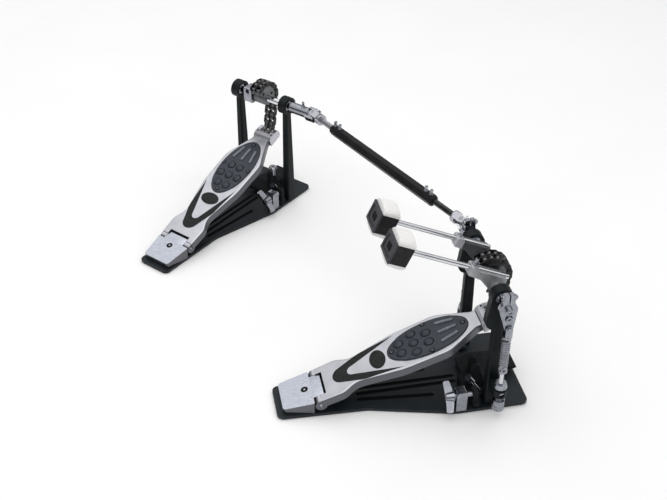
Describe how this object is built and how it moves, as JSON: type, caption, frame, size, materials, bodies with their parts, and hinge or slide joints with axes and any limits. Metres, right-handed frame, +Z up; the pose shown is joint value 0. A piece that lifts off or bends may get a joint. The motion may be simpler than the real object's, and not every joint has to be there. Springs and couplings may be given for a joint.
{
  "type": "double bass drum pedal",
  "caption": "Double bass drum pedal: main and left-foot pedals with chain drive, linked by a jointed shaft; beaters with return springs and a hoop clamp.",
  "frame": {"origin": "on the floor under the line where the main pedal's footboard meets its heel plate, on that footboard's centre line", "axes": "+X to the player's right along the axle, +Y towards the drum, +Z up"},
  "size_m": [0.7699, 0.5564, 0.3142],
  "materials": {
    "base_black": "satin black",
    "sole_rubber": "matt",
    "pad_rubber": "matt",
    "cast_black": "semi-gloss black",
    "board_silver": "satin cast",
    "heel_silver": "brushed",
    "chrome": "polished",
    "chain_black": "black oxide",
    "steel": "bright",
    "dark_steel": "dark grey satin",
    "tube_black": "gloss black",
    "felt_white": "pressed felt",
    "beater_black": "matt black"
  },
  "bodies": {
    "frame": {"master_base_plate": "base_black", "slave_base_plate": "base_black", "base_soles": "sole_rubber", "heel_plates": "heel_silver", "hinge_pins": "chrome", "master_posts": "cast_black", "slave_posts": "cast_black", "bearings": "steel", "floor_spikes": "steel", "clamp_brackets": "cast_black", "clamp_blocks": "steel"},
    "right_beater": {"right_axle": "chrome", "master_cam": "dark_steel", "master_chain_wrap": "chain_black", "right_beater_hub": "steel", "right_beater_rod": "chrome", "right_beater_core": "beater_black", "right_beater_felts": "felt_white", "right_rocker": "steel"},
    "left_beater": {"left_shaft": "chrome", "left_beater_hub": "dark_steel", "left_beater_rod": "chrome", "left_beater_core": "beater_black", "left_beater_felts": "felt_white", "left_rocker": "steel"},
    "drive": {"drive_tube": "tube_black", "drive_end_shafts": "steel"},
    "master_cross": {"master_cross": "steel"},
    "slave_cross": {"slave_cross": "steel"},
    "slave_axle_set": {"slave_axle": "chrome", "slave_yoke": "steel", "slave_cam": "dark_steel", "slave_chain_wrap": "chain_black", "slave_hub_block": "steel"},
    "master_foot": {"master_footboard": "board_silver", "master_footboard_pad": "pad_rubber", "master_toe_link": "board_silver"},
    "master_link_1": {"master_chain_link_1": "chain_black"},
    "master_link_2": {"master_chain_link_2": "chain_black"},
    "master_link_3": {"master_chain_link_3": "chain_black"},
    "master_strand": {"master_chain_strand": "chain_black"},
    "master_clamp": {"master_clamp_lever": "dark_steel"},
    "master_wing": {"master_wing_bolt": "steel"},
    "slave_foot": {"slave_footboard": "board_silver", "slave_footboard_pad": "pad_rubber", "slave_toe_link": "board_silver"},
    "slave_link_1": {"slave_chain_link_1": "chain_black"},
    "slave_link_2": {"slave_chain_link_2": "chain_black"},
    "slave_link_3": {"slave_chain_link_3": "chain_black"},
    "slave_strand": {"slave_chain_strand": "chain_black"},
    "slave_clamp": {"slave_clamp_lever": "dark_steel"},
    "slave_wing": {"slave_wing_bolt": "steel"},
    "right_spring_arm": {"right_spring_rod": "steel", "right_spring": "chrome", "right_tension_nut": "steel"},
    "right_hook": {"right_spring_hook": "steel"},
    "left_spring_arm": {"left_spring_rod": "steel", "left_spring": "chrome", "left_tension_nut": "steel"},
    "left_hook": {"left_spring_hook": "steel"}
  },
  "joints": [
    {"name": "right_beater_swing", "type": "hinge", "parent": "frame", "child": "right_beater", "pos_m": [0, 0.2598, 0.2069], "axis": [-1, 0, 0], "range_deg": [0, 60], "stiffness_Nm_per_rad": 0.8, "springref_deg": -17.19},
    {"name": "left_beater_swing", "type": "hinge", "parent": "frame", "child": "left_beater", "pos_m": [-0.06, 0.2598, 0.2069], "axis": [-1, 0, 0], "range_deg": [0, 60], "stiffness_Nm_per_rad": 0.8, "springref_deg": -17.19},
    {"name": "master_foot_hinge", "type": "hinge", "parent": "frame", "child": "master_foot", "pos_m": [0, 0.0095, 0.0205], "axis": [-1, 0, 0], "range_deg": [0, 6.33]},
    {"name": "master_link_3_pin", "type": "hinge", "parent": "right_beater", "child": "master_link_3", "pos_m": [0, 0.27743, 0.22791], "axis": [-1, 0, 0], "range_deg": [-18.32, 0]},
    {"name": "master_link_2_pin", "type": "hinge", "parent": "master_link_3", "child": "master_link_2", "pos_m": [0, 0.28355, 0.22061], "axis": [-1, 0, 0], "range_deg": [-20.02, 0]},
    {"name": "master_link_1_pin", "type": "hinge", "parent": "master_link_2", "child": "master_link_1", "pos_m": [0, 0.28681, 0.21166], "axis": [-1, 0, 0], "range_deg": [-20.02, 0]},
    {"name": "master_strand_pin", "type": "hinge", "parent": "master_link_1", "child": "master_strand", "pos_m": [0, 0.28681, 0.20214], "axis": [-1, 0, 0], "range_deg": [-8.4, 0]},
    {"name": "right_spring_tilt", "type": "hinge", "parent": "frame", "child": "right_spring_arm", "pos_m": [0.084, 0.2638, 0.051], "axis": [1, 0, 0], "range_deg": [0, 13.09]},
    {"name": "right_spring_stretch", "type": "slide", "parent": "right_spring_arm", "child": "right_hook", "axis": [0, 0, 1], "range_m": [0, 0.01715], "deforming": ["right_spring"]},
    {"name": "left_spring_tilt", "type": "hinge", "parent": "frame", "child": "left_spring_arm", "pos_m": [-0.098, 0.2638, 0.051], "axis": [1, 0, 0], "range_deg": [0, 13.09]},
    {"name": "left_spring_stretch", "type": "slide", "parent": "left_spring_arm", "child": "left_hook", "axis": [0, 0, 1], "range_m": [0, 0.01715], "deforming": ["left_spring"]},
    {"name": "master_cross_pin", "type": "hinge", "parent": "left_beater", "child": "master_cross", "pos_m": [-0.126, 0.2598, 0.2069], "axis": [0, 0.866, 0.5], "range_deg": [-24.89, 0]},
    {"name": "drive_spin", "type": "hinge", "parent": "frame", "child": "drive", "pos_m": [-0.126, 0.2598, 0.2069], "axis": [-0.915, -0.4034, 0], "range_deg": [0, 64.52]},
    {"name": "slave_axle_swing", "type": "hinge", "parent": "frame", "child": "slave_axle_set", "pos_m": [-0.49859, 0.09552, 0.2069], "axis": [-0.7385, -0.6743, 0], "range_deg": [0, 61.78]},
    {"name": "slave_cross_pin", "type": "hinge", "parent": "slave_axle_set", "child": "slave_cross", "pos_m": [-0.49859, 0.09552, 0.2069], "axis": [-0.5787, 0.6338, 0.5132], "range_deg": [0, 19.63]},
    {"name": "slave_foot_hinge", "type": "hinge", "parent": "frame", "child": "slave_foot", "pos_m": [-0.41991, -0.17158, 0.0205], "axis": [-0.7385, -0.6743, 0], "range_deg": [0, 6.51]},
    {"name": "slave_link_3_pin", "type": "hinge", "parent": "slave_axle_set", "child": "slave_link_3", "pos_m": [-0.60057, 0.02627, 0.22791], "axis": [-0.7385, -0.6743, 0], "range_deg": [-20.29, 0]},
    {"name": "slave_link_2_pin", "type": "hinge", "parent": "slave_link_3", "child": "slave_link_2", "pos_m": [-0.6047, 0.03079, 0.22061], "axis": [-0.7385, -0.6743, 0], "range_deg": [-20.02, 0]},
    {"name": "slave_link_1_pin", "type": "hinge", "parent": "slave_link_2", "child": "slave_link_1", "pos_m": [-0.6069, 0.0332, 0.21166], "axis": [-0.7385, -0.6743, 0], "range_deg": [-20.02, 0]},
    {"name": "slave_strand_pin", "type": "hinge", "parent": "slave_link_1", "child": "slave_strand", "pos_m": [-0.6069, 0.0332, 0.20214], "axis": [-0.7385, -0.6743, 0], "range_deg": [-8.29, 0]},
    {"name": "master_wing_turn", "type": "hinge", "parent": "frame", "child": "master_wing", "pos_m": [0.062, 0.2, 0.031], "axis": [0, 1, 0], "range_deg": [0, 420]},
    {"name": "master_clamp_swing", "type": "hinge", "parent": "frame", "child": "master_clamp", "pos_m": [0, 0.236, 0.015], "axis": [-1, 0, 0], "range_deg": [0, 6.02]},
    {"name": "slave_wing_turn", "type": "hinge", "parent": "frame", "child": "slave_wing", "pos_m": [-0.50848, 0.0055, 0.031], "axis": [-0.6743, 0.7385, 0], "range_deg": [0, 420]},
    {"name": "slave_clamp_swing", "type": "hinge", "parent": "frame", "child": "slave_clamp", "pos_m": [-0.57264, -0.00432, 0.015], "axis": [-0.7385, -0.6743, 0], "range_deg": [0, 6.02]}
  ],
  "couplings": [
    {"joint": "master_foot_hinge", "follows": "right_beater_swing", "ratio": 0.10522},
    {"joint": "master_link_3_pin", "follows": "right_beater_swing", "ratio": -0.30497},
    {"joint": "master_link_2_pin", "follows": "right_beater_swing", "ratio": -0.33333},
    {"joint": "master_link_1_pin", "follows": "right_beater_swing", "ratio": -0.33333},
    {"joint": "master_strand_pin", "follows": "right_beater_swing", "ratio": -0.13972},
    {"joint": "right_spring_tilt", "follows": "right_beater_swing", "ratio": 0.21785},
    {"joint": "right_spring_stretch", "follows": "right_beater_swing", "m_per_rad": 0.016366},
    {"joint": "left_spring_tilt", "follows": "left_beater_swing", "ratio": 0.21785},
    {"joint": "left_spring_stretch", "follows": "left_beater_swing", "m_per_rad": 0.016366},
    {"joint": "master_cross_pin", "follows": "left_beater_swing", "ratio": -0.41442},
    {"joint": "drive_spin", "follows": "left_beater_swing", "ratio": 1.075},
    {"joint": "slave_axle_swing", "follows": "left_beater_swing", "ratio": 1.0293},
    {"joint": "slave_cross_pin", "follows": "left_beater_swing", "ratio": 0.32677},
    {"joint": "slave_foot_hinge", "follows": "left_beater_swing", "ratio": 0.10814},
    {"joint": "slave_link_3_pin", "follows": "left_beater_swing", "ratio": -0.33787},
    {"joint": "slave_link_2_pin", "follows": "left_beater_swing", "ratio": -0.33333},
    {"joint": "slave_link_1_pin", "follows": "left_beater_swing", "ratio": -0.33333},
    {"joint": "slave_strand_pin", "follows": "left_beater_swing", "ratio": -0.13784},
    {"joint": "master_clamp_swing", "follows": "master_wing_turn", "ratio": 0.014286},
    {"joint": "slave_clamp_swing", "follows": "slave_wing_turn", "ratio": 0.014286}
  ]
}
